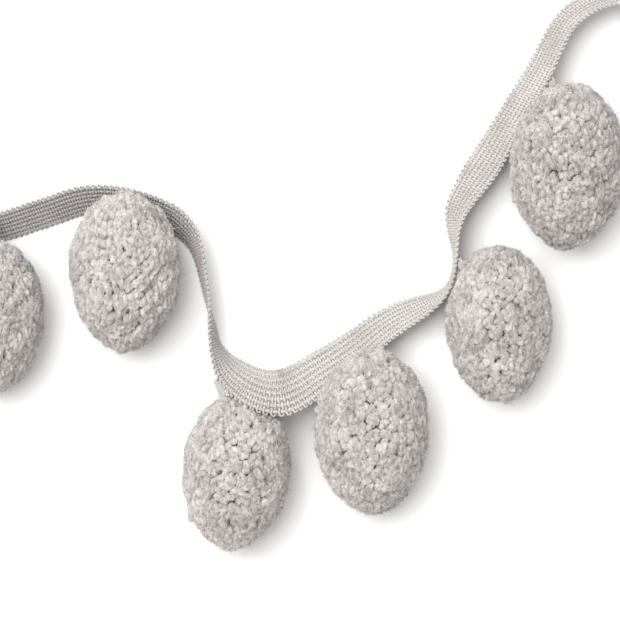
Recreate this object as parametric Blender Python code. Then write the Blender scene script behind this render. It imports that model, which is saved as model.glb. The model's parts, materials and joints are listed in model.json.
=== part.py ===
import bmesh
import bpy
import numpy as np

# Pompom fringe trim lying on a level surface: a narrow woven heading tape that twists and waves
# as it lies, with six oval pompoms tied to one edge of it. All sizes are in millimetres.

tape = dict(width=14.0, picot=0.5, ridge=0.75, furrow=0.58, lip=0.5, step=1.15)

# The tape's middle line, from left to right. x and y are along the ground, spread is how far the
# pompom edge stands out to the right of the line beyond the free edge, as seen from above, and
# lift is how high the free edge hangs above the ground.
tapePath = (
    # x,      y,      spread, lift
    (-103.6, 4.2, -7.6, 0.0),
    (-93.0, 6.9, -7.7, 0.0),
    (-81.8, 9.7, -7.8, 0.0),
    (-68.3, 14.1, -8.0, 0.0),
    (-59.4, 17.0, -7.8, 0.0),
    (-52.1, 17.5, -7.6, 0.0),
    (-45.4, 16.4, -7.4, 0.0),
    (-39.1, 14.5, -7.3, 0.0),
    (-34.7, 12.5, -7.3, 0.0),
    (-30.9, 9.5, -6.9, 0.0),
    (-28.0, 6.0, -5.0, 0.0),
    (-26.3, 1.1, -3.2, 0.0),
    (-25.2, -4.2, -2.3, 0.0),
    (-23.8, -11.2, -1.6, 0.0),
    (-22.6, -18.8, 1.4, 0.0),
    (-21.9, -23.8, 2.6, 0.3),
    (-20.4, -27.3, 4.8, 1.5),
    (-17.9, -30.8, 8.1, 4.5),
    (-13.4, -34.4, 10.6, 9.5),
    (-8.1, -36.8, 12.3, 13.2),
    (-3.6, -37.4, 13.4, 13.8),
    (1.1, -35.8, 12.6, 9.5),
    (6.2, -32.5, 12.0, 5.0),
    (12.9, -28.3, 11.2, 2.0),
    (19.0, -24.1, 10.4, 0.7),
    (24.6, -19.5, 9.2, 0.0),
    (30.2, -16.0, 8.3, 0.0),
    (36.4, -13.0, 6.3, 0.0),
    (41.7, -10.1, 2.8, 0.0),
    (44.4, -7.3, 0.8, 0.0),
    (45.8, -2.8, 0.0, 0.0),
    (46.2, 2.2, 0.4, 0.0),
    (45.7, 7.8, 2.5, 0.0),
    (46.6, 14.6, 6.2, 0.0),
    (49.8, 20.2, 8.0, 0.0),
    (53.8, 26.2, 9.5, 0.0),
    (56.7, 30.9, 9.0, 0.0),
    (61.3, 38.9, 8.1, 0.0),
    (65.8, 46.6, 7.7, 0.0),
    (70.3, 54.3, 7.0, 0.0),
    (74.1, 62.2, 6.4, 0.0),
    (78.7, 69.2, 6.6, 0.0),
    (84.6, 73.1, 6.7, 0.0),
    (91.8, 75.3, 7.0, 0.0),
    (103.6, 77.3, 7.6, 0.0),
)

# A pompom's pile. core is the share of the full radius at which the roots meet, gap is the slit
# between neighbouring tufts, shoulder is where a tuft's rounded end begins.
pile = dict(core=0.66, rootGap=0.5, tipGap=0.9, shoulder=0.945, crown=1.0, bevel=1.1, peak=1.02,
            egg=0.05, pointed=0.10, sink=0.8, even=8.0, hollow=0.15, jitter=0.035, uneven=0.022)

# x and y place a pompom's middle, radius is across it and half is half its length. turn is the
# heading of its tape end from straight up the picture, anticlockwise, tilt is how far that end is
# raised, both in degrees. tieX and tieY are where its tie meets the tape, and mouth is how far
# above the tape's edge the tie goes into the pile.
pompoms = (
    # x,     y,     radius, half, turn, tilt, tieX,  tieY, mouth
    (-84.8, -16.0, 15.1, 22.1, 0.0, 1.0, -85.4, 12.9, 2.0),
    (-46.9, -3.5, 15.4, 22.4, 1.0, 3.0, -45.6, 19.9, 2.0),
    (-15.7, -59.4, 15.0, 22.1, -5.0, -3.0, -21.0, -32.8, 4.0),
    (22.3, -48.3, 16.0, 23.2, 0.0, 8.0, 22.1, -28.3, 0.0),
    (58.0, -18.1, 14.8, 22.0, 0.0, 0.0, 46.2, -0.6, 5.0),
    (77.2, 26.0, 16.1, 23.0, -2.0, 2.0, 71.7, 51.0, 2.0),
)

clearance = dict(reach=3.4, margin=1.1)
tie = dict(width=2.4, thick=1.2, gap=0.45, stations=8)


def unit(v):
    return v / np.linalg.norm(v, axis=-1, keepdims=True)


def smoothPath(table, step):
    """Smooth curve through the table's rows, at even steps along its length."""
    knots = np.array(table)
    along = np.concatenate([[0], np.cumsum(np.linalg.norm(np.diff(knots[:, :2], axis=0), axis=1))])
    slope = np.gradient(knots, along, axis=0)

    def at(where):
        k = np.clip(np.searchsorted(along, where, side="right") - 1, 0, len(along) - 2)
        span = (along[k + 1] - along[k])[:, None]
        u = ((where - along[k])[:, None]) / span
        return ((2 * u**3 - 3 * u**2 + 1) * knots[k] + (u**3 - 2 * u**2 + u) * span * slope[k]
                + (3 * u**2 - 2 * u**3) * knots[k + 1] + (u**3 - u**2) * span * slope[k + 1])

    fine = np.linspace(0, along[-1], 4000)
    points = at(fine)
    length = np.concatenate([[0], np.cumsum(np.linalg.norm(np.diff(points[:, :2], axis=0), axis=1))])
    count = 2 * int(round(length[-1] / step / 2))
    return at(np.interp(np.linspace(0, length[-1], count), length, fine))


def tapeFrames():
    """Middle line, direction across towards the pompom edge, and direction out of the cloth."""
    path = smoothPath(tapePath, tape["step"])
    heading = unit(np.gradient(path[:, :2], axis=0))
    right = np.stack([heading[:, 1], -heading[:, 0]], 1)
    share = path[:, 2:3] / tape["width"]
    across = np.hstack([right * share, np.sqrt(1 - share**2)])
    flat = np.hstack([heading, np.zeros((len(path), 1))])
    out = unit(np.cross(flat, across))
    height = np.maximum(path[:, 3], 0) + tape["width"] / 2 * across[:, 2]
    middle = np.column_stack([path[:, :2], height])
    return middle, across, out


def tapeSection(reach):
    """The tape's cross-section as distances across and out, with lengthwise ridges."""
    half = tape["width"] / 2
    r, f, e = tape["ridge"], tape["furrow"], tape["lip"]
    face = ((-half + 0.9, e), (-half * 0.52, r), (0.0, f), (half * 0.52, r), (half - 0.9, e))
    front = [(-half + reach, 0.0)] + list(face) + [(half - reach, 0.0)]
    back = [(u, -v) for u, v in reversed(face)]
    return np.array(front + back)


def tapeRings():
    middle, across, out = tapeFrames()
    picot, plain = tapeSection(0.0), tapeSection(tape["picot"])
    # The lowest point of each picot touches the ground wherever the edge isn't lifted.
    low = (picot[None, :, 0] * across[:, None, 2] + picot[None, :, 1] * out[:, None, 2]).min(axis=1)
    middle[:, 2] += -low - tape["width"] / 2 * across[:, 2]
    rings = []
    for i in range(len(middle)):
        section = picot if i % 2 else plain
        rings.append(middle[i] + section[:, :1] * across[i] + section[:, 1:] * out[i])
    return np.array(rings), middle, across, out


def tube(rings):
    """Closed skin over a row of rings, with a flat cap at each end."""
    count, around = rings.shape[:2]
    faces = [list(range(around))[::-1], [(count - 1) * around + j for j in range(around)]]
    for i in range(count - 1):
        for j in range(around):
            k = (j + 1) % around
            faces.append([i * around + j, i * around + k, (i + 1) * around + k, (i + 1) * around + j])
    return rings.reshape(-1, 3), faces


def sphereCells():
    """Directions at the corners of the tufts, and the corners each tuft stands between.

    The ball is cut up as a cube of three cells a side. At the tape's end four long tufts leave a
    small hollow in the middle for the tie.
    """
    corners, index, cells = [], {}, []

    def corner(i, j, k):
        if (i, j, k) not in index:
            at = np.array([i, j, k]) / 1.5 - 1.0
            if k == 3 and 0 < i < 3 and 0 < j < 3:
                at[:2] = np.sign(at[:2]) * pile["hollow"]
            index[i, j, k] = len(corners)
            corners.append(at)
        return index[i, j, k]

    for axis in range(3):
        for side in (0, 3):
            for a in range(3):
                for b in range(3):
                    ring = []
                    for da, db in ((0, 0), (1, 0), (1, 1), (0, 1)):
                        spot = [0, 0, 0]
                        spot[axis] = side
                        spot[(axis + 1) % 3], spot[(axis + 2) % 3] = a + da, b + db
                        ring.append(corner(*spot))
                    if axis != 2 or side != 3:
                        cells.append(ring)
    top = {(i, j): corner(i, j, 3) for i in range(4) for j in range(4)}
    pinwheel = (
        ((0, 0), (1, 0), (2, 0), (2, 1), (1, 1), (0, 1)),
        ((2, 0), (3, 0), (3, 1), (3, 2), (2, 2), (2, 1)),
        ((3, 2), (3, 3), (2, 3), (1, 3), (1, 2), (2, 2)),
        ((1, 3), (0, 3), (0, 2), (0, 1), (1, 1), (1, 2)),
    )
    cells += [[top[spot] for spot in long] for long in pinwheel]
    hollow = [top[1, 1], top[2, 1], top[2, 2], top[1, 2]]
    points = np.array(corners)
    swelled = unit(np.tan(points * np.pi / 4))
    up = np.degrees(np.arcsin(swelled[:, 2]))
    up = np.radians(up - pile["even"] * np.sin(np.radians(2 * up)))
    flat = unit(swelled[:, :2] + 1e-12) * np.cos(up)[:, None]
    return np.column_stack([flat, np.sin(up)]), cells, hollow


def turnTo(direction):
    """Rotation that takes straight up to the given direction."""
    a, b = np.array([0.0, 0.0, 1.0]), unit(np.array(direction))
    v, c = np.cross(a, b), a @ b
    k = np.array([[0, -v[2], v[1]], [v[2], 0, -v[0]], [-v[1], v[0], 0]])
    return np.eye(3) + k + k @ k / (1 + c)


def pompomPose(x, y, radius, half, turn, tilt):
    """Middle of the pompom, and its side, up and long directions as columns."""
    t, e = np.radians(turn), np.radians(tilt)
    long = np.array([-np.sin(t) * np.cos(e), np.cos(t) * np.cos(e), np.sin(e)])
    side = unit(np.cross(long, [0, 0, 1]))
    axes = np.column_stack([side, np.cross(side, long), long])
    reach = np.sqrt((radius * np.cos(e)) ** 2 + (half * np.sin(e)) ** 2)
    return np.array([x, y, reach - pile["sink"]]), axes


def eggPoint(local, radius, half, share):
    """Point of the egg in a unit direction, at a share of its full size. Both ends are a little pointed."""
    swell = 1 + pile["egg"] * local[..., 2:3] - pile["pointed"] * local[..., 2:3] ** 4
    return np.concatenate([local[..., :2] * radius * swell, local[..., 2:3] * half], axis=-1) * share


def giveWay(points, centre, blockers):
    """Shortens the pile along its own direction wherever the tape presses on it."""
    if not len(blockers):
        return points
    d = points - centre
    far = np.linalg.norm(d, axis=1)
    ray = d / far[:, None]
    rel = blockers - centre
    ahead = ray @ rel.T
    apart = np.sqrt(np.maximum((rel**2).sum(1)[None] - ahead**2, 0))
    limit = ahead - clearance["margin"] + (apart / clearance["reach"]) ** 2 * 0.8
    limit[(apart > clearance["reach"]) | (ahead < 6)] = 1e9
    return centre + ray * np.minimum(far, limit.min(axis=1))[:, None]


def restLevel(points, centre):
    """Tufts that would reach below the ground end level on it."""
    low = points[:, 2] < 0
    scale = np.where(low, centre[2] / np.maximum(centre[2] - points[:, 2], 1e-9), 1.0)
    return centre + (points - centre) * scale[:, None]


def pompomMesh(row, mouth, blockers, seed):
    x, y, radius, half, turn, tilt = row[:6]
    centre, axes = pompomPose(x, y, radius, half, turn, tilt)
    corners, cells, hollow = sphereCells()
    chance = np.random.default_rng(seed)
    moved = corners + chance.normal(0, pile["jitter"], corners.shape)
    moved[hollow] = corners[hollow]
    aim = (mouth - centre) @ axes / np.array([radius, radius, half])
    local = unit(moved) @ turnTo(aim).T

    def world(unitPoints, share):
        return centre + eggPoint(unitPoints, radius, half, share) @ axes.T

    points, faces = [world(local, pile["core"])], [hollow[::-1]]
    total = len(local)
    for ring in cells:
        n = len(ring)
        full = local[ring]
        mid = unit(full.mean(axis=0))
        tall = 1 + chance.normal(0, pile["uneven"])

        def inset(share, gap):
            edge, heart = world(full, share), world(mid[None], share)
            inward = heart - edge
            return edge + unit(inward) * gap * 0.5 * 1.35

        root = inset(pile["core"] + 0.004, pile["rootGap"])
        tip = inset(pile["shoulder"] * tall, pile["tipGap"])
        crown = inset(pile["crown"] * tall, pile["tipGap"] + pile["bevel"] * 2)
        peak = world(mid[None], tall * pile["peak"])
        a, b, c = total, total + n, total + 2 * n
        peakIndex = total + 3 * n
        points += [root, tip, crown, peak]
        total += 3 * n + 1
        for i in range(n):
            j = (i + 1) % n
            faces += [[ring[i], ring[j], a + j, a + i], [a + i, a + j, b + j, b + i],
                      [b + i, b + j, c + j, c + i], [c + i, c + j, peakIndex]]
    placed = np.concatenate(points)
    placed = giveWay(placed, centre, blockers)
    return restLevel(placed, centre), faces


def tieMesh(tip, across, along, mouth, centre, floorPoint):
    """A flat loop of yarn from above the tape's edge to the hollow in the pile."""
    lift = tie["gap"] + tie["thick"] / 2
    start = tip + across * lift
    toward = unit(centre - start)
    lean = unit(toward - across * (toward @ across))
    end = floorPoint
    reach = np.linalg.norm(end - start)
    outward = unit(mouth - centre)
    handles = (start, start + lean * 0.30 * reach + across * 0.5, end + outward * 0.5 * reach, end)
    u = np.linspace(0, 1, tie["stations"])[:, None]
    line = ((1 - u) ** 3 * handles[0] + 3 * (1 - u) ** 2 * u * handles[1]
            + 3 * (1 - u) * u**2 * handles[2] + u**3 * handles[3])
    ahead = unit(np.gradient(line, axis=0))
    w, t, c = tie["width"] / 2, tie["thick"] / 2, 0.35
    section = np.array([(-w, t - c), (-w + c, t), (w - c, t), (w, t - c),
                        (w, -t + c), (w - c, -t), (-w + c, -t), (-w, -t + c)])
    rings = []
    for point, way in zip(line, ahead):
        wide = unit(along - way * (along @ way))
        thick = np.cross(way, wide)
        rings.append(point + section[:, :1] * wide + section[:, 1:] * thick)
    return tube(np.array(rings))


def addObject(name, points, faces, shift):
    mesh = bpy.data.meshes.new(name)
    mesh.from_pydata(((points - shift) * 0.001).tolist(), [], faces)
    shape = bmesh.new()
    shape.from_mesh(mesh)
    bmesh.ops.recalc_face_normals(shape, faces=shape.faces)
    bmesh.ops.triangulate(shape, faces=shape.faces)
    shape.to_mesh(mesh)
    shape.free()
    bpy.context.scene.collection.objects.link(bpy.data.objects.new(name, mesh))


for old in list(bpy.data.objects):
    bpy.data.objects.remove(old)

rings, middle, across, out = tapeRings()
meshes = {"heading_tape": tube(rings)}

# The tape's skin as a cloud of points, which the pile keeps clear of.
u = np.linspace(-tape["width"] / 2, tape["width"] / 2, 29)
skin = np.concatenate([middle[:, None] + across[:, None] * u[None, :, None] + out[:, None] * v
                       for v in (-tape["ridge"], tape["ridge"])], axis=1).reshape(-1, 3)

for number, row in enumerate(pompoms, 1):
    x, y, radius, half, turn, tilt, tieX, tieY, rise = row
    centre, axes = pompomPose(x, y, radius, half, turn, tilt)
    edge = middle + across * tape["width"] / 2
    at = np.argmin((edge[:, 0] - tieX) ** 2 + (edge[:, 1] - tieY) ** 2)
    mouth = edge[at] + across[at] * tie["gap"] + np.array([0, 0, rise])
    near = skin[np.linalg.norm(skin - centre, axis=1) < half + 8]
    meshes[f"pompom_{number}"] = pompomMesh(row, mouth, near, 10 + number)
    aim = unit((mouth - centre) @ axes / np.array([radius, radius, half]))
    root = centre + axes @ eggPoint(aim, radius, half, pile["core"])
    floorPoint = root + unit(mouth - centre) * 0.5
    along = unit(middle[min(at + 1, len(middle) - 1)] - middle[at - 1])
    meshes[f"tie_{number}"] = tieMesh(edge[at], across[at], along, mouth, centre, floorPoint)

every = np.concatenate([points for points, _ in meshes.values()])
low, high = every.min(axis=0), every.max(axis=0)
shift = np.array([(low[0] + high[0]) / 2, (low[1] + high[1]) / 2, low[2]])
print("shift", shift, "size", high - low)
for name, (points, faces) in meshes.items():
    addObject(name, points, faces, shift)
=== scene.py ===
import json
import math

import bpy
import numpy as np
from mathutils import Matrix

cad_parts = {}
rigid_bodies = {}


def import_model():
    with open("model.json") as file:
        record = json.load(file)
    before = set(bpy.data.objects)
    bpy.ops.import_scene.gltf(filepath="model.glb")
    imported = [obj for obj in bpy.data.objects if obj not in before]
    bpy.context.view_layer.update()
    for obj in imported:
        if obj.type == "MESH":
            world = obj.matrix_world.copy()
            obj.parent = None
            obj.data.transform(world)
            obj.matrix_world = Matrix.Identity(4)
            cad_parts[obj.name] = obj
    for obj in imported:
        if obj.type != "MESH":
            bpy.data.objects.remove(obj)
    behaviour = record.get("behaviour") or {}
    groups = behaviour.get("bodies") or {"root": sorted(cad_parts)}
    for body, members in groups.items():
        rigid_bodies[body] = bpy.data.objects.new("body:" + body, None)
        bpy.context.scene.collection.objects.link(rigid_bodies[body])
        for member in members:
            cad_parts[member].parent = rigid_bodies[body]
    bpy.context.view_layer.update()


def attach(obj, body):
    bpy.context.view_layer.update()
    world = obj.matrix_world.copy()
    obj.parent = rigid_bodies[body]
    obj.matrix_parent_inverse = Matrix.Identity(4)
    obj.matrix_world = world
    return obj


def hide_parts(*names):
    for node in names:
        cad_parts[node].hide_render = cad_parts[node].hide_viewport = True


# Pompom fringe trim: yarn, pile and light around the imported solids.
# Shapes are worked out in millimetres and go into the meshes in metres.

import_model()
rowShift = np.array([-0.1562, -0.1917, 0.0])  # from the tables' origin to the row's origin
chance = np.random.default_rng(41)


# Shader helpers

# A socket that can stand in an expression: every operator adds one Math node.
class Wire:
    def __init__(self, shader, socket):
        self.shader, self.socket = shader, socket

    def maths(self, operation, first, second):
        return self.shader.node("ShaderNodeMath", {"operation": operation}, [first, second])

    def __add__(self, other):
        return self.maths("ADD", self, other)

    def __sub__(self, other):
        return self.maths("SUBTRACT", self, other)

    def __rsub__(self, other):
        return self.maths("SUBTRACT", other, self)

    def __mul__(self, other):
        return self.maths("MULTIPLY", self, other)

    __radd__, __rmul__ = __add__, __mul__


class Shader:
    def __init__(self, name):
        self.material = bpy.data.materials.new(name)
        self.material.use_nodes = True
        self.tree = self.material.node_tree
        self.tree.nodes.clear()

    # One node: its settings go first, then the values or links of its sockets.
    def node(self, kind, settings=None, inputs=None, output=0):
        made = self.tree.nodes.new(kind)
        for key, value in (settings or {}).items():
            setattr(made, key, value)
        pairs = inputs.items() if isinstance(inputs, dict) else enumerate(inputs or [])
        for key, value in pairs:
            if isinstance(value, Wire):
                self.tree.links.new(value.socket, made.inputs[key])
            else:
                made.inputs[key].default_value = value
        return Wire(self, made.outputs[output]) if made.outputs else None

    def attribute(self, name):
        return self.node("ShaderNodeAttribute", {"attribute_name": name}, output="Fac")

    # Noise on the piece's own coordinates; a lay under 1 draws its grain out along y.
    def noise(self, scale, detail, roughness=0.6, lay=1.0):
        where = self.node("ShaderNodeTexCoord", output="Object")
        if lay != 1.0:
            where = self.node("ShaderNodeMapping", {}, {"Vector": where, "Scale": (1, lay, 1)})
        return self.node("ShaderNodeTexNoise", {"noise_dimensions": "3D"},
                         {"Vector": where, "Scale": scale, "Detail": detail, "Roughness": roughness})

    def blend(self, factor, first, second):
        return self.node("ShaderNodeMix", {"data_type": "RGBA"},
                         {0: factor, 6: first, 7: second}, output=2)

    def finish(self, surface):
        self.node("ShaderNodeOutputMaterial", inputs={"Surface": surface})
        return self.material


# Mesh helpers

def unit(v):
    return v / np.maximum(np.linalg.norm(v, axis=-1, keepdims=True), 1e-12)


# One object from whole arrays: points in millimetres, faces as arrays of equal-sided polygons,
# facts as named numbers per point.
def pieceFrom(name, points, faceSets, facts, material, nodes, smooth=True):
    mesh = bpy.data.meshes.new(name)
    placed = (points - rowShift) * 0.001
    placed[:, 2] = np.maximum(placed[:, 2], 0.00002)  # nothing goes into the ground
    corners = np.concatenate([faces.ravel() for faces in faceSets])
    sizes = np.concatenate([np.full(len(faces), faces.shape[1]) for faces in faceSets])
    mesh.vertices.add(len(placed))
    mesh.vertices.foreach_set("co", placed.astype(np.float32).ravel())
    mesh.loops.add(len(corners))
    mesh.loops.foreach_set("vertex_index", corners.astype(np.int32))
    mesh.polygons.add(len(sizes))
    starts = np.concatenate([[0], np.cumsum(sizes)[:-1]])
    mesh.polygons.foreach_set("loop_start", starts.astype(np.int32))
    mesh.polygons.foreach_set("use_smooth", np.full(len(sizes), smooth))
    for fact, values in facts.items():
        data = mesh.attributes.new(fact, "FLOAT", "POINT").data
        data.foreach_set("value", values.astype(np.float32).ravel())
    mesh.update(calc_edges=True)
    mesh.validate()
    mesh.materials.append(material)
    piece = bpy.data.objects.new(name, mesh)
    bpy.context.scene.collection.objects.link(piece)
    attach(piece, "root")
    if nodes:
        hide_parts(*nodes)
    return piece


# A round profile carried along each path: point = path + side * wide * cos(angle)
# + rise * thick * sin(angle). paths is (count, steps, 3), and up is the way each ring's short axis leans.
def yarnSkins(paths, up, wide, thick, sides, plyPitch, plies=2):
    count, steps = paths.shape[:2]
    ahead = unit(np.gradient(paths, axis=1))
    side = unit(np.cross(ahead, up))
    rise = np.cross(side, ahead)
    angle = np.linspace(0, 2 * np.pi, sides, endpoint=False)
    wide = np.broadcast_to(wide, (count, steps))[..., None, None]
    thick = np.broadcast_to(thick, (count, steps))[..., None, None]
    rings = (paths[:, :, None] + side[:, :, None] * wide * np.cos(angle)[:, None]
             + rise[:, :, None] * thick * np.sin(angle)[:, None])
    hops = np.linalg.norm(np.diff(paths, axis=1), axis=2)
    run = np.concatenate([np.zeros((count, 1)), np.cumsum(hops, axis=1)], axis=1)
    ply = np.cos(2 * np.pi * run[..., None] / plyPitch + plies * angle)
    c, s, a = np.meshgrid(np.arange(count), np.arange(steps - 1), np.arange(sides), indexing="ij")
    start = c * steps * sides + s * sides
    after = (a + 1) % sides
    walls = np.stack([start + a, start + after, start + sides + after, start + sides + a], -1).reshape(-1, 4)
    tube = np.arange(count)[:, None] * steps * sides
    firstCap = tube + np.arange(sides)[::-1]
    lastCap = tube + (steps - 1) * sides + np.arange(sides)
    return rings.reshape(-1, 3), [walls, firstCap, lastCap], ply.ravel()


# Smooth curve through the rows of a table, read at the given distances along it: each stretch is a
# cubic that keeps the knots' own slopes.
def smoothThrough(knots, along, where):
    slope = np.gradient(knots, along, axis=0)
    k = np.clip(np.searchsorted(along, where, side="right") - 1, 0, len(along) - 2)
    span = (along[k + 1] - along[k])[:, None]
    u = (where - along[k])[:, None] / span
    return ((2 * u**3 - 3 * u**2 + 1) * knots[k] + (u**3 - 2 * u**2 + u) * span * slope[k]
            + (3 * u**2 - 2 * u**3) * knots[k + 1] + (u**3 - u**2) * span * slope[k + 1])


def runLength(points):
    return np.concatenate([[0], np.cumsum(np.linalg.norm(np.diff(points, axis=0), axis=1))])


# Camera and light

# The camera looks straight down and frames so many millimetres at the level of the pompoms' middles.
camera = dict(height=900.0, overX=5.04, overY=-14.0, framed=173.6, level=15.0, sensor=36.0, clip=(0.05, 20))
lights = dict(sky=0.70, skyTint=(1.0, 0.995, 0.985, 1), keyPower=20.4, keySize=0.9, keyAt=(-0.35, 0.30, 1.15),
              floorHalf=3.0, floorTint=(0.885, 0.885, 0.885, 1.0))


def makeCamera():
    data = bpy.data.cameras.new("camera")
    data.sensor_width = camera["sensor"]
    data.lens = camera["sensor"] * (camera["height"] - camera["level"]) / camera["framed"]
    data.clip_start, data.clip_end = camera["clip"]
    eye = bpy.data.objects.new("camera", data)
    place = np.array([camera["overX"], camera["overY"], camera["height"]]) - rowShift
    eye.location = (place * 0.001).tolist()
    bpy.context.scene.collection.objects.link(eye)
    bpy.context.scene.camera = eye


def makeLight():
    sky = bpy.data.worlds.new("studio")
    sky.use_nodes = True
    back = sky.node_tree.nodes["Background"]
    back.inputs["Color"].default_value = lights["skyTint"]
    back.inputs["Strength"].default_value = lights["sky"]
    bpy.context.scene.world = sky
    lamp = bpy.data.lights.new("softBox", "AREA")
    lamp.energy, lamp.size = lights["keyPower"], lights["keySize"]
    box = bpy.data.objects.new("softBox", lamp)
    box.location = lights["keyAt"]
    aim = -np.array(lights["keyAt"])
    tip = math.acos(-aim[2] / np.linalg.norm(aim))
    box.rotation_euler = (tip, 0, math.atan2(aim[1], aim[0]) - math.pi / 2)
    bpy.context.scene.collection.objects.link(box)
    bpy.context.scene.view_settings.view_transform = "Standard"


def makeFloor():
    half = lights["floorHalf"]
    corners = [(-half, -half, 0), (half, -half, 0), (half, half, 0), (-half, half, 0)]
    mesh = bpy.data.meshes.new("floor")
    mesh.from_pydata(corners, [], [(0, 1, 2, 3)])
    shader = Shader("paperFloor")
    paint = shader.node("ShaderNodeBsdfPrincipled", {}, {
        "Base Color": lights["floorTint"], "Roughness": 0.9, "Specular IOR Level": 0.1})
    mesh.materials.append(shader.finish(paint))
    floor = bpy.data.objects.new("floor", mesh)
    bpy.context.scene.collection.objects.link(floor)


makeCamera()
makeLight()
makeFloor()
print("camera, light and floor made")


# Heading tape

tape = dict(width=14.0, step=0.46, ground=0.3, groundWidth=11.6,
            passPitch=0.76, passStart=0.9, passReach=6.25, picotReach=0.50, picotSteps=7,
            passWide=0.31, picotWide=0.34, passThick=0.27, passWave=0.42, passSides=7,
            passPly=1.6, passWander=0.03, picotUneven=0.12, picotWave=0.6,
            cordPitch=1.84, cords=7, cordWide=0.55, cordThick=0.28, cordWave=0.30, cordSides=7, cordPly=3.0,
            samples=4000, soften=1.6, flatReach=6.1, flatRise=0.5, groundEnd=0.3, groundSteps=500,
            fuzz=7000, fuzzAtEdge=0.4, fuzzEdge=6.9, fuzzReach=6.6, fuzzEnd=0.5, fuzzOut=0.5,
            fuzzLength=(0.25, 0.85), fuzzWide=0.03)

# The tape's middle line from left to right: place on the ground, how far the pompom edge stands out
# to the right of the free edge as seen from above, and how high the free edge is off the ground.
tapePath = (
    # x,      y,      spread, lift
    (-103.6, 4.2, -7.6, 0.0),
    (-93.0, 6.9, -7.7, 0.0),
    (-81.8, 9.7, -7.8, 0.0),
    (-68.3, 14.1, -8.0, 0.0),
    (-59.4, 17.0, -7.8, 0.0),
    (-52.1, 17.5, -7.6, 0.0),
    (-45.4, 16.4, -7.4, 0.0),
    (-39.1, 14.5, -7.3, 0.0),
    (-34.7, 12.5, -7.3, 0.0),
    (-30.9, 9.5, -6.9, 0.0),
    (-28.0, 6.0, -5.0, 0.0),
    (-26.3, 1.1, -3.2, 0.0),
    (-25.2, -4.2, -2.3, 0.0),
    (-23.8, -11.2, -1.6, 0.0),
    (-22.6, -18.8, 1.4, 0.0),
    (-21.9, -23.8, 2.6, 0.3),
    (-20.4, -27.3, 4.8, 1.5),
    (-17.9, -30.8, 8.1, 4.5),
    (-13.4, -34.4, 10.6, 9.5),
    (-8.1, -36.8, 12.3, 13.2),
    (-3.6, -37.4, 13.4, 13.8),
    (1.1, -35.8, 12.6, 9.5),
    (6.2, -32.5, 12.0, 5.0),
    (12.9, -28.3, 11.2, 2.0),
    (19.0, -24.1, 10.4, 0.7),
    (24.6, -19.5, 9.2, 0.0),
    (30.2, -16.0, 8.3, 0.0),
    (36.4, -13.0, 6.3, 0.0),
    (41.7, -10.1, 2.8, 0.0),
    (44.4, -7.3, 0.8, 0.0),
    (45.8, -2.8, 0.0, 0.0),
    (46.2, 2.2, 0.4, 0.0),
    (45.7, 7.8, 2.5, 0.0),
    (46.6, 14.6, 6.2, 0.0),
    (49.8, 20.2, 8.0, 0.0),
    (53.8, 26.2, 9.5, 0.0),
    (56.7, 30.9, 9.0, 0.0),
    (61.3, 38.9, 8.1, 0.0),
    (65.8, 46.6, 7.7, 0.0),
    (70.3, 54.3, 7.0, 0.0),
    (74.1, 62.2, 6.4, 0.0),
    (78.7, 69.2, 6.6, 0.0),
    (84.6, 73.1, 6.7, 0.0),
    (91.8, 75.3, 7.0, 0.0),
    (103.6, 77.3, 7.6, 0.0),
)


# The tape's lay: its middle line in space, the way across to the pompom edge and the way out of the
# cloth. The middle is as high as half the width, or the yarns' thickness, needs to clear the ground.
def layTape():
    knots = np.array(tapePath)
    along = runLength(knots[:, :2])
    dense = np.linspace(0, along[-1], tape["samples"])
    fine = smoothThrough(knots, along, dense)
    length = runLength(fine[:, :2])
    count = int(round(length[-1] / tape["step"]))
    even = np.interp(np.linspace(0, length[-1], count), length, dense)
    path = smoothThrough(knots, along, even)
    # Cloth bends gently: each column is averaged with a bell-shaped weight over a few steps.
    reach = int(3 * tape["soften"] / tape["step"])
    bell = np.exp(-0.5 * (np.arange(-reach, reach + 1) * tape["step"] / tape["soften"]) ** 2)
    padded = np.pad(path, ((reach, reach), (0, 0)), mode="reflect", reflect_type="odd")
    path = np.stack([np.convolve(column, bell / bell.sum(), "valid") for column in padded.T], 1)
    heading = unit(np.gradient(path[:, :2], axis=0))
    right = np.stack([heading[:, 1], -heading[:, 0]], 1)
    share = path[:, 2:3] / tape["width"]
    across = np.hstack([right * share, np.sqrt(1 - share**2)])
    out = unit(np.cross(np.hstack([heading, np.zeros((count, 1))]), across))
    upright = tape["width"] / 2 * across[:, 2]
    rest = np.maximum(upright, tape["flatReach"] * across[:, 2] + tape["flatRise"] * np.abs(out[:, 2]))
    middle = np.column_stack([path[:, :2], np.maximum(path[:, 3], 0) + rest])
    return middle, across, out


middle, across, out = layTape()
tapeRun = runLength(middle)
tapeLength = tapeRun[-1]


# Points of the cloth: distance along, across and out of it, each an array of one shape.
def onTape(along, sideways, outward):
    read = lambda field: np.stack([np.interp(along, tapeRun, field[:, i]) for i in range(3)], -1)
    outWay = unit(read(out))
    return read(middle) + unit(read(across)) * sideways[..., None] + outWay * outward[..., None], outWay


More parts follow.
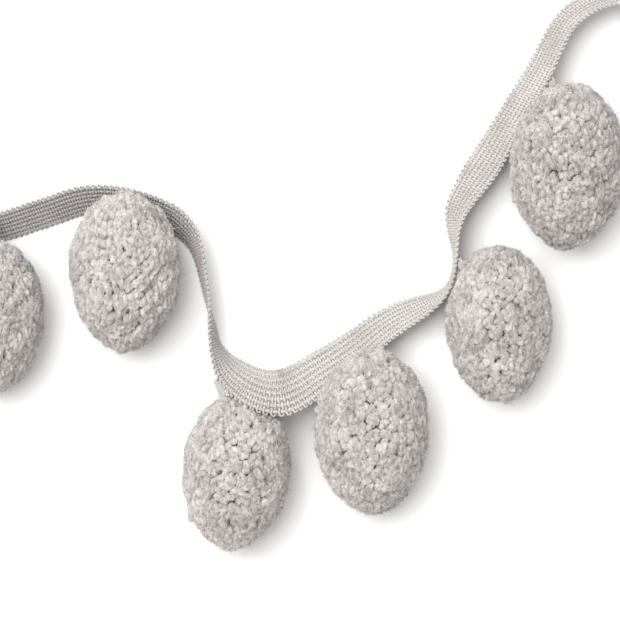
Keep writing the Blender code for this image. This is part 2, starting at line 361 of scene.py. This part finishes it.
# The weft runs to and fro as one yarn. It crosses the cords over and under by turns, a cosine of the
# distance across, and goes round each edge in half a circle, the picot, from one face to the other.
def weftPath():
    pitch, cords = tape["passPitch"], tape["cords"]
    passes = int((tapeLength - 2 * tape["passStart"]) / pitch)
    inner = np.arange(1 - cords, cords) * tape["cordPitch"] / 2
    bow = np.linspace(-np.pi / 2, np.pi / 2, tape["picotSteps"])
    sign = np.where(np.arange(passes) % 2 == 0, 1, -1)[:, None]
    picot = tape["picotReach"] * chance.normal(1, tape["picotUneven"], (passes, 1))
    sideways = np.hstack([sign * inner, sign * (tape["passReach"] + picot * np.cos(bow))])
    slip = np.concatenate([np.zeros(len(inner)), 0.5 + 0.5 * np.sin(bow)])
    wander = chance.normal(0, tape["passWander"], passes + 1)[:, None]
    along = (tape["passStart"] + (np.arange(passes)[:, None] + slip) * pitch
             + wander[:-1] * (1 - slip) + wander[1:] * slip)
    edge = math.cos(math.pi * (cords - 1) / 2)
    crossing = np.cos(np.pi * inner / tape["cordPitch"])
    wave = sign * np.concatenate([crossing, -tape["picotWave"] * edge * np.sin(bow)]) * tape["passWave"]
    points, outWay = onTape(along.ravel(), sideways.ravel(), wave.ravel())
    bowed = np.concatenate([np.zeros(len(inner)), np.cos(bow)])
    wide = tape["passWide"] + (tape["picotWide"] - tape["passWide"]) * np.tile(bowed, passes)
    return points[None], outWay[None], wide[None]


# Each cord runs the tape's length and lies on the other side of every pass from the weft.
def cordPaths():
    pitch = tape["passPitch"]
    sidePlaces = (np.arange(tape["cords"]) - (tape["cords"] - 1) / 2) * tape["cordPitch"]
    along = np.arange(0, tapeLength - tape["passStart"], pitch / 2) + tape["passStart"] / 2
    alongGrid, sideGrid = np.meshgrid(along, sidePlaces)
    overCord = np.cos(np.pi * sideGrid / tape["cordPitch"])
    overPass = np.cos(np.pi * (alongGrid - tape["passStart"]) / pitch)
    wave = -tape["cordWave"] * overCord * overPass
    return onTape(alongGrid, sideGrid, wave)


# The ground of the cloth: a flat thin band under the yarns, its corners a small rectangle carried along.
# Its dark colour is painted shade that shows in the slits between the yarns.
def groundSkin():
    corner = np.array([(-0.5, 0.5), (-0.25, 0.5), (0, 0.5), (0.25, 0.5), (0.5, 0.5),
                       (0.5, -0.5), (0.25, -0.5), (0, -0.5), (-0.25, -0.5), (-0.5, -0.5)])
    along = np.linspace(tape["groundEnd"], tapeLength - tape["groundEnd"], tape["groundSteps"])
    alongGrid, k = np.meshgrid(along, np.arange(len(corner)), indexing="ij")
    points, _ = onTape(alongGrid, corner[k, 0] * tape["groundWidth"], corner[k, 1] * tape["ground"])
    sides = len(corner)
    s, a = np.meshgrid(np.arange(len(along) - 1), np.arange(sides), indexing="ij")
    after = (a + 1) % sides
    walls = np.stack([s * sides + a, s * sides + after, (s + 1) * sides + after, (s + 1) * sides + a], -1)
    caps = np.array([np.arange(sides)[::-1], (len(along) - 1) * sides + np.arange(sides)])
    return points.reshape(-1, 3), [walls.reshape(-1, 4)[:, ::-1], caps[:, ::-1]]


# The ground colour is painted shade, seen in the slits of the weave.
tapeYarn = dict(light=(0.615, 0.583, 0.562, 1), dark=(0.295, 0.27, 0.257, 1), ground=(0.24, 0.22, 0.21, 1),
                roughness=0.85, sheen=0.25)
# The ties' yarn is the tape's yarn made darker, painted shade for ties that lie in the shadow under the
# tape's edge.
shadedTieYarn = dict(light=(0.55, 0.52, 0.50, 1), dark=(0.24, 0.22, 0.21, 1), roughness=0.9, sheen=0.25)
spun = dict(plyShade=0.25, fleck=1.6, cloud=0.8, middle=0.55, plyRise=0.6, fleckRise=0.5,
            bump=0.55, bumpDepth=0.00012)


# Spun yarn: pale and darker fibre mixed by fine noise, with painted shade between the plies.
def yarnMaterial(name, look):
    shader = Shader(name)
    ply = shader.attribute("ply")
    fine, broad = shader.noise(2600, 3), shader.noise(90, 2)
    mix = (ply * spun["plyShade"] + (fine - 0.5) * spun["fleck"]
           + (broad - 0.5) * spun["cloud"] + spun["middle"])
    colour = shader.blend(mix, look["dark"], look["light"])
    height = ply * spun["plyRise"] + fine * spun["fleckRise"]
    bump = shader.node("ShaderNodeBump", {}, {
        "Strength": spun["bump"], "Distance": spun["bumpDepth"], "Height": height})
    return shader.finish(shader.node("ShaderNodeBsdfPrincipled", {}, {
        "Base Color": colour, "Roughness": look["roughness"], "Sheen Weight": look["sheen"],
        "Sheen Roughness": 0.5, "Specular IOR Level": 0.25, "Normal": bump}))


def plainCloth(name, colour):
    shader = Shader(name)
    fine = shader.noise(1800, 2)
    shade = shader.blend(fine, tuple(c * 0.8 for c in colour[:3]) + (1,), colour)
    return shader.finish(shader.node("ShaderNodeBsdfPrincipled", {}, {
        "Base Color": shade, "Roughness": 0.95, "Specular IOR Level": 0.1}))


def makeTape():
    yarn = yarnMaterial("tapeYarn", tapeYarn)
    points, faces = groundSkin()
    ground = pieceFrom("tape_ground", points, faces, {}, plainCloth("tapeGroundShade", tapeYarn["ground"]),
                       ["heading_tape"], smooth=False)
    weft, outWay, wide = weftPath()
    points, faces, ply = yarnSkins(weft, outWay, wide, tape["passThick"], tape["passSides"], tape["passPly"])
    weftPiece = pieceFrom("tape_weft", points, faces, {"ply": ply}, yarn, [])
    cords, outWay = cordPaths()
    points, faces, ply = yarnSkins(cords, outWay, tape["cordWide"], tape["cordThick"], tape["cordSides"],
                                   tape["cordPly"], plies=3)
    cordPiece = pieceFrom("tape_cords", points, faces, {"ply": ply}, yarn, [])
    # Short hairs that stand off the yarns of the tape, thicker along its edges. Each is a blade:
    # root +- flat, and a tip at root + grow.
    total = tape["fuzz"]
    atEdge = chance.random(total) < tape["fuzzAtEdge"]
    edgePlace = np.sign(chance.random(total) - 0.5) * tape["fuzzEdge"]
    sideways = np.where(atEdge, edgePlace, chance.uniform(-tape["fuzzReach"], tape["fuzzReach"], total))
    along = chance.uniform(tape["fuzzEnd"], tapeLength - tape["fuzzEnd"], total)
    roots, _ = onTape(along, sideways, np.sign(chance.random(total) - 0.5) * tape["fuzzOut"])
    grow = chance.normal(0, 1, (total, 3))
    grow = unit(grow) * chance.uniform(*tape["fuzzLength"], (total, 1))
    flat = unit(np.cross(grow, chance.normal(0, 1, (total, 3)))) * tape["fuzzWide"]
    blades = np.stack([roots - flat, roots + flat, roots + grow], axis=1)
    hairPiece = pieceFrom("tape_hairs", blades.reshape(-1, 3), [np.arange(total * 3).reshape(-1, 3)],
                          {"ply": np.full(total * 3, 1.0)}, yarn, [], smooth=False)


makeTape()
print("heading tape woven, length", round(float(tapeLength), 1))


# Pompoms

pile = dict(tuftArea=3.15, tuftRadius=1.21, tuftLength=4.4, core=0.82, coreRows=18, coreColumns=28,
            egg=0.05, pointed=0.10, sink=0.8, jitter=0.30, hub=0.62, inset=0.40, uneven=0.10, clump=0.46,
            giveReach=1.7, giveMargin=0.1, giveRound=0.6, giveFrom=3, bend=0.20, drift=0.32, slant=0.24,
            sides=7, missing=0.002, part=0.9, partDepth=0.6, ragged=0.15, stretch=1.10, flank=0.42,
            lobes=(0.16, 0.12), fibres=54000, fibreWide=0.062, fibreReach=(0.80, 0.28),
            fibreLift=(0.42, 0.32), strays=420, strayReach=2.4, tone=(-0.04, 0.0, 0.02, 0.02, 0.0, -0.20))

# Middle, radius across, half length, heading and raise of the tape end in degrees, where the tie
# meets the tape, and how far above the tape's edge the tie goes into the pile.
pompoms = (
    # x,     y,     radius, half, turn, tilt, tieX,  tieY, mouth
    (-84.8, -16.0, 15.1, 22.1, 0.0, 1.0, -85.4, 12.9, 2.0),
    (-46.9, -3.5, 15.4, 22.4, 1.0, 3.0, -45.6, 19.9, 2.0),
    (-15.7, -59.4, 15.0, 22.1, -5.0, -3.0, -21.0, -32.8, 4.0),
    (22.3, -48.3, 16.0, 23.2, 0.0, 8.0, 22.1, -28.3, 0.0),
    (58.0, -18.1, 14.8, 22.0, 0.0, 0.0, 46.2, -0.6, 5.0),
    (77.2, 26.0, 16.1, 23.0, -2.0, 2.0, 71.7, 51.0, 2.0),
)

# Dark clefts where the pile parts, as seen from above: x, y, how far round it the tufts lean away.
clefts = np.array((
    # x,    y,     reach
    (-45.4, -9.0, 3.4),
    (-51.7, -10.8, 2.2),
    (-12.6, -55.6, 2.6),
    (-8.4, -66.0, 2.2),
    (22.3, -40.4, 3.8),
    (19.9, -45.0, 2.8),
    (56.0, -28.0, 3.0),
    (68.5, -16.1, 2.4),
    (83.2, 28.4, 3.0),
    (74.0, 21.0, 2.4),
))

# Both faces of the tape as a cloud of points, which the pile keeps clear of.
skinAcross = np.linspace(-tape["width"] / 2, tape["width"] / 2, 36)
tapeSkin = np.concatenate([middle[:, None] + across[:, None] * skinAcross[None, :, None] + out[:, None] * face
                           for face in (-0.8, 0.8)], axis=1).reshape(-1, 3)


# A pompom's middle, and its own axes as columns: side, up and long. It rests on the ground, and the
# pile gives way under it by its sink.
def pompomPose(x, y, radius, half, turn, tilt):
    t, e = np.radians(turn), np.radians(tilt)
    long = np.array([-np.sin(t) * np.cos(e), np.cos(t) * np.cos(e), np.sin(e)])
    side = unit(np.cross(long, [0, 0, 1]))
    reach = np.sqrt((radius * np.cos(e)) ** 2 + (half * np.sin(e)) ** 2)
    return np.array([x, y, reach - pile["sink"]]), np.column_stack([side, np.cross(side, long), long])


# Egg surface: a circle of radius * (1 + egg * h - pointed * h^4) * sqrt(1 - h^2) round the long axis
# at height half * h.
def eggPoint(height, angle, radius, half):
    profile = 1 + pile["egg"] * height - pile["pointed"] * height**4
    ring = radius * profile * np.sqrt(np.maximum(1 - height**2, 0))
    return np.stack([ring * np.cos(angle), ring * np.sin(angle), half * height], -1)


# Even spots on the egg: heights share out its area equally and angles step by the golden angle.
def tuftSpots(radius, half):
    h = np.linspace(-1, 1, 4001)
    profile = eggPoint(h, np.zeros_like(h), radius, half)
    area = np.concatenate([[0], np.cumsum(2 * np.pi * (profile[1:, 0] + profile[:-1, 0]) / 2
                                          * np.linalg.norm(np.diff(profile, axis=0), axis=1))])
    count = int(area[-1] / pile["tuftArea"])
    height = np.interp((np.arange(count) + 0.5) / count * area[-1], area, h)
    angle = np.arange(count) * math.pi * (3 - math.sqrt(5))
    ring = np.maximum(radius * np.sqrt(np.maximum(1 - height**2, 0)), 1.0)
    height = np.clip(height + chance.normal(0, pile["jitter"], count) / half, -0.994, 0.994)
    return height, angle + chance.normal(0, pile["jitter"], count) / ring


# Where the tape lies in the way, the pile ends short of it along its own direction.
def giveWay(start, ray, far, blockers):
    reach, margin = pile["giveReach"], pile["giveMargin"]
    rel = blockers[None] - start[:, None]
    ahead = (rel * ray[:, None]).sum(-1)
    apart = np.sqrt(np.maximum((rel**2).sum(-1) - ahead**2, 0))
    limit = ahead - margin + (apart / reach) ** 2 * pile["giveRound"]
    limit[(apart > reach) | (ahead < pile["giveFrom"])] = 1e9
    return np.minimum(far, limit.min(axis=1))


# What would reach below the ground ends level on it instead.
def restLevel(points, centre):
    low = points[..., 2] < 0
    scale = np.where(low, centre[2] / np.maximum(centre[2] - points[..., 2], 1e-9), 1.0)
    return centre + (points - centre) * scale[..., None]


# Tufts: each is a blunt cut end of chenille, a lobed round profile that swells and then rounds over.
# point = root + way * (length * share + slant) + (e1 * stretch * cos + e2 * sin / stretch)
# * radius * swell * lobes + bend * share * share
tuftRings = (
    # share, swell
    (0.30, 0.80),
    (0.83, 1.02),
    (0.955, 0.90),
    (1.0, 0.56),
)


def makePompom(number, row, pileLook, fibreLook):
    x, y, radius, half, turn, tilt, tieX, tieY, rise = row
    centre, axes = pompomPose(x, y, radius, half, turn, tilt)
    edge = middle + across * tape["width"] / 2
    at = int(np.argmin((edge[:, 0] - tieX) ** 2 + (edge[:, 1] - tieY) ** 2))
    mouth = edge[at] + across[at] * 0.45 + np.array([0, 0, rise])

    height, angle = tuftSpots(radius, half)
    surface = centre + eggPoint(height, angle, radius, half) @ axes.T
    hub = centre + (height * half * pile["hub"])[:, None] * axes[:, 2]
    way = unit(surface - hub)
    wave = lambda: np.sin(surface @ chance.normal(0, 0.75, (3, 5)) + chance.uniform(0, 6, 5)).sum(axis=1) / 5
    waves, drift = wave(), np.stack([wave(), wave(), wave()], 1) * 2 * pile["drift"]
    inset = pile["inset"] * (1 - np.clip(height, 0, 1) ** 2)
    far = (np.linalg.norm(surface - hub, axis=1) - inset + chance.normal(0, pile["uneven"], len(height))
           + waves * pile["clump"] * 2)
    near = tapeSkin[np.linalg.norm(tapeSkin - centre, axis=1) < half + 6]
    if len(near):
        far = giveWay(hub, way, far, near)
    keep = chance.random(len(height)) > pile["missing"]
    gap = surface[:, None, :2] - clefts[None, :, :2]
    away = np.linalg.norm(gap, axis=2)
    push = np.where(surface[:, 2:] > centre[2], np.clip(1 - away / clefts[:, 2], 0, 1), 0)
    drift[:, :2] += (gap / np.maximum(away, 0.3)[..., None] * push[..., None]).sum(axis=1) * pile["part"]
    far = far - push.sum(axis=1) * pile["partDepth"]
    hub, way, far, drift = hub[keep], way[keep], far[keep], drift[keep]
    count, sides, levels = len(far), pile["sides"], len(tuftRings)

    length = np.minimum(pile["tuftLength"], far * 0.75)
    root = hub + way * (far - length)[:, None]
    e2 = unit(np.cross(axes[:, 2] + chance.normal(0, 0.25, (count, 3)), way))
    e1 = np.cross(way, e2)
    sideFacing = ((way @ axes[:, 0]) ** 2)[:, None, None]
    stretch = chance.normal(pile["stretch"], 0.14, (count, 1, 1)) + pile["flank"] * sideFacing
    theta = np.linspace(0, 2 * np.pi, sides, endpoint=False)
    share, swell = np.array(tuftRings).T
    twoLobes, threeLobes = pile["lobes"]
    lobes = (1 + twoLobes * np.cos(2 * theta + chance.uniform(0, 6.3, (count, 1)))
             + threeLobes * np.cos(3 * theta + chance.uniform(0, 6.3, (count, 1)))
             + chance.normal(0, 0.08, (count, sides)))
    girth = pile["tuftRadius"] * chance.normal(1, 0.10, (count, 1))
    spread = girth[:, :, None] * swell[None, :, None] * lobes[:, None, :]
    lean = np.clip(chance.normal(0, pile["slant"], (count, 2)), -0.5, 0.5)
    slant = lean[:, :1] * np.cos(theta) + lean[:, 1:] * np.sin(theta)
    slant = slant[:, None, :] * (share**3)[None, :, None]
    bend = (e1 * chance.normal(0, pile["bend"], (count, 1)) + e2 * chance.normal(0, pile["bend"], (count, 1))
            + drift - way * (drift * way).sum(axis=1, keepdims=True))
    grown = way[:, None] * (length[:, None] * share)[..., None]
    axis = root[:, None] + grown + bend[:, None] * (share**2)[None, :, None]
    ragged = chance.normal(0, 1, (count, levels, sides)) * (share**6)[None, :, None] * pile["ragged"]
    rings = (axis[:, :, None] + way[:, None, None] * (slant + ragged)[..., None]
             + e1[:, None, None] * (spread * stretch * np.cos(theta))[..., None]
             + e2[:, None, None] * (spread / stretch * np.sin(theta))[..., None])
    peak = root + way * (length * 1.02)[:, None] + bend
    perTuft = levels * sides + 1
    points = np.concatenate([rings.reshape(count, -1, 3), peak[:, None]], axis=1)
    points = restLevel(points, centre)

    t, k, a = np.meshgrid(np.arange(count), np.arange(levels - 1), np.arange(sides), indexing="ij")
    start, after = t * perTuft + k * sides, (a + 1) % sides
    walls = np.stack([start + a, start + after, start + sides + after, start + sides + a], -1).reshape(-1, 4)
    t, a = np.meshgrid(np.arange(count), np.arange(sides), indexing="ij")
    rim = t * perTuft + (levels - 1) * sides
    caps = np.stack([rim + a, rim + (a + 1) % sides, t * perTuft + levels * sides], -1).reshape(-1, 3)
    depth = np.tile(np.concatenate([np.repeat(share, sides), [1.0]]), count)
    tint = np.repeat(chance.random(count) + pile["tone"][number - 1], perTuft)

    # The wound middle closes the gaps between the tufts; with depth 0 it takes the roots' painted shade.
    rows, columns = pile["coreRows"], pile["coreColumns"]
    v, u = np.meshgrid(np.linspace(-1, 1, rows), np.arange(columns) * 2 * np.pi / columns, indexing="ij")
    ball = centre + eggPoint(np.sin(v * np.pi / 2), u, radius, half).reshape(-1, 3) @ axes.T * pile["core"]
    i, j = np.meshgrid(np.arange(rows - 1), np.arange(columns), indexing="ij")
    shell = np.stack([i * columns + j, i * columns + (j + 1) % columns,
                      (i + 1) * columns + (j + 1) % columns, (i + 1) * columns + j], -1).reshape(-1, 4)
    shell = shell + count * perTuft
    everything = np.concatenate([points.reshape(-1, 3), ball])
    facts = {"depth": np.concatenate([depth, np.zeros(len(ball))]),
             "tint": np.concatenate([tint, np.full(len(ball), 0.5)])}
    pieceFrom(f"pompom_{number}_pile", everything, [walls, shell, caps], facts, pileLook,
              [f"pompom_{number}"])

    # Pile fibres: thin three-sided blades that spread from the middle of each cut end, most of them
    # almost flat on it. A blade is foot +- flat, and its tip is
    # foot + (outward * cos(lift) + way * sin(lift)) * reach
    total = pile["fibres"]
    chosen = chance.integers(0, count, total)
    spin = chance.uniform(0, 2 * np.pi, (total, 1))
    lift = chance.normal(*pile["fibreLift"], (total, 1))
    outward = e1[chosen] * np.cos(spin) * pile["stretch"] + e2[chosen] * np.sin(spin) / pile["stretch"]
    top = root[chosen] + way[chosen] * (length[chosen][:, None] + 0.05) + bend[chosen]
    foot = (top + outward * chance.uniform(0, 0.85, (total, 1)) * pile["tuftRadius"]
            - way[chosen] * chance.uniform(0, 0.25, (total, 1)))
    grow = outward * np.cos(lift) + way[chosen] * np.sin(lift) + chance.normal(0, 0.25, (total, 3))
    reach = np.clip(chance.normal(*pile["fibreReach"], (total, 1)), 0.25, 1.5)
    stray = np.arange(total)[:, None] < pile["strays"]  # a few long hairs stand up from the pile
    grow = np.where(stray, unit(way[chosen] * 1.2 + grow), grow)
    reach = np.where(stray, reach * pile["strayReach"], reach)
    flat = unit(np.cross(grow, way[chosen] + chance.normal(0, 0.5, (total, 3)))) * pile["fibreWide"]
    blades = np.stack([foot - flat, foot + flat, foot + grow * reach], axis=1)
    tint = np.repeat(chance.random(total) + pile["tone"][number - 1], 3)
    pieceFrom(f"pompom_{number}_fibres", blades.reshape(-1, 3), [np.arange(total * 3).reshape(-1, 3)],
              {"tint": tint}, fibreLook, [], smooth=False)
    return at, mouth, centre, axes


# The darkest colour is painted shade: it colours the tufts' roots and the wound middle, where the pile shades
# itself.
chenille = dict(light=(0.59, 0.548, 0.525, 1), dark=(0.235, 0.212, 0.20, 1), paintedRootShade=(0.12, 0.105, 0.098, 1),
                fibreLight=(0.72, 0.675, 0.65, 1), fibreDark=(0.245, 0.222, 0.21, 1),
                fineScale=2400, patchScale=700, broadScale=130, grain=0.5, shadeFrom=0.3, shadeTo=0.93,
                bump=0.9, bumpDepth=0.0003)


# Chenille: each tuft has its own tint, fine noise mottles it, and painted shade darkens it towards the roots,
# where the tufts shade one another.
def chenilleMaterial():
    shader = Shader("chenillePile")
    depth, tint = shader.attribute("depth"), shader.attribute("tint")
    fine = shader.noise(chenille["fineScale"], 3, 0.65, chenille["grain"])
    patch = shader.noise(chenille["patchScale"], 2, lay=chenille["grain"])
    broad = shader.noise(chenille["broadScale"], 1)
    mix = tint * 0.38 + (fine - 0.5) * 2.2 + (patch - 0.5) * 1.1 + (broad - 0.5) * 0.9 + 0.36
    colour = shader.blend(mix, chenille["dark"], chenille["light"])
    # Painted shade: towards the tufts' roots the colour gives way to the darkest one.
    clearOfRootShade = shader.node("ShaderNodeMapRange", {"interpolation_type": "SMOOTHSTEP"},
                        {0: depth, 1: chenille["shadeFrom"], 2: chenille["shadeTo"], 3: 0.0, 4: 1.0})
    shade = shader.blend(clearOfRootShade, chenille["paintedRootShade"], colour)
    bump = shader.node("ShaderNodeBump", {}, {
        "Strength": chenille["bump"], "Distance": chenille["bumpDepth"], "Height": fine * 0.7 + patch * 0.6})
    return shader.finish(shader.node("ShaderNodeBsdfPrincipled", {}, {
        "Base Color": shade, "Roughness": 0.95, "Sheen Weight": 0.6, "Sheen Roughness": 0.6,
        "Specular IOR Level": 0.15, "Normal": bump}))


# Pile fibres: each blade has its own tint, and the chenille's own patches run through them.
def fibreMaterial():
    shader = Shader("pileFibre")
    patch = shader.noise(chenille["patchScale"], 2, lay=chenille["grain"])
    broad = shader.noise(chenille["broadScale"], 1)
    mix = shader.attribute("tint") * 0.9 + (patch - 0.5) * 1.2 + (broad - 0.5) * 0.9 + 0.03
    colour = shader.blend(mix, chenille["fibreDark"], chenille["fibreLight"])
    return shader.finish(shader.node("ShaderNodeBsdfPrincipled", {}, {
        "Base Color": colour, "Roughness": 0.85, "Sheen Weight": 0.35, "Sheen Roughness": 0.6,
        "Specular IOR Level": 0.2}))


# Ties

tie = dict(yarns=(3, 3, 5, 3, 3, 3), apart=0.90, radius=0.50, steps=26, slip=(0.0, 0.0, 2.4, 0.0, 0.0, 0.0),
           sides=8, ply=1.9, depth=0.70, rise=1.0, leave=0.25, arrive=0.5)


# Each tie's yarns start on the face of the tape that looks at the pompom, leave it at the edge and run
# side by side into the pile. From the edge on, their line is a cubic Bezier curve.
def makeTie(number, at, mouth, centre, axes, row, look):
    radius, half = row[2], row[3]
    along = unit(middle[min(at + 2, len(middle) - 1)] - middle[at - 2])
    tip = middle[at] + across[at] * tape["width"] / 2
    aim = unit((mouth - centre) @ axes / np.array([radius, radius, half]))
    root = centre + axes @ (aim * np.array([radius, radius, half])) * tie["depth"]
    toward = unit(root - tip)
    lean = unit(toward - across[at] * (toward @ across[at]))
    side = out[at] * np.sign(out[at] @ lean)
    start = tip + across[at] * 0.1 + side * tie["rise"]
    reach = np.linalg.norm(root - start)
    arrival = root + unit(mouth - centre) * tie["arrive"] * reach
    bezier = [start, start + lean * tie["leave"] * reach, arrival, root]
    u = np.array([0.0, 0.3, 0.6, 0.85, 1.0])[:, None]
    free = ((1 - u) ** 3 * bezier[0] + 3 * (1 - u) ** 2 * u * bezier[1]
            + 3 * (1 - u) * u**2 * bezier[2] + u**3 * bezier[3])
    knots = np.vstack([tip - across[at] * 3.0 + side * 0.8, tip - across[at] * 1.2 + side * 0.95, free])
    run = runLength(knots)
    line = smoothThrough(knots, run, np.linspace(0, run[-1], tie["steps"]))
    yarns = tie["yarns"][number - 1]
    spread = (np.arange(yarns) - (yarns - 1) / 2) * tie["apart"] + tie["slip"][number - 1]
    paths = line[None] + spread[:, None, None] * along + chance.normal(0, 0.03, (yarns, 1, 3))
    up = np.broadcast_to(unit(np.cross(unit(np.gradient(line, axis=0)), along))[None], paths.shape)
    points, faces, ply = yarnSkins(paths, up, tie["radius"], tie["radius"], tie["sides"], tie["ply"])
    pieceFrom(f"tie_{number}_yarns", points, faces, {"ply": ply}, look, [f"tie_{number}"])


pileLook = chenilleMaterial()
fibreLook = fibreMaterial()
tieLook = yarnMaterial("shadedTieYarn", shadedTieYarn)
for number, row in enumerate(pompoms, 1):
    at, mouth, centre, axes = makePompom(number, row, pileLook, fibreLook)
    makeTie(number, at, mouth, centre, axes, row, tieLook)
    print("pompom", number, "and its tie made")

triangles = sum(len(p.vertices) - 2 for o in bpy.data.objects if o.type == "MESH" for p in o.data.polygons)
print("triangles", triangles)
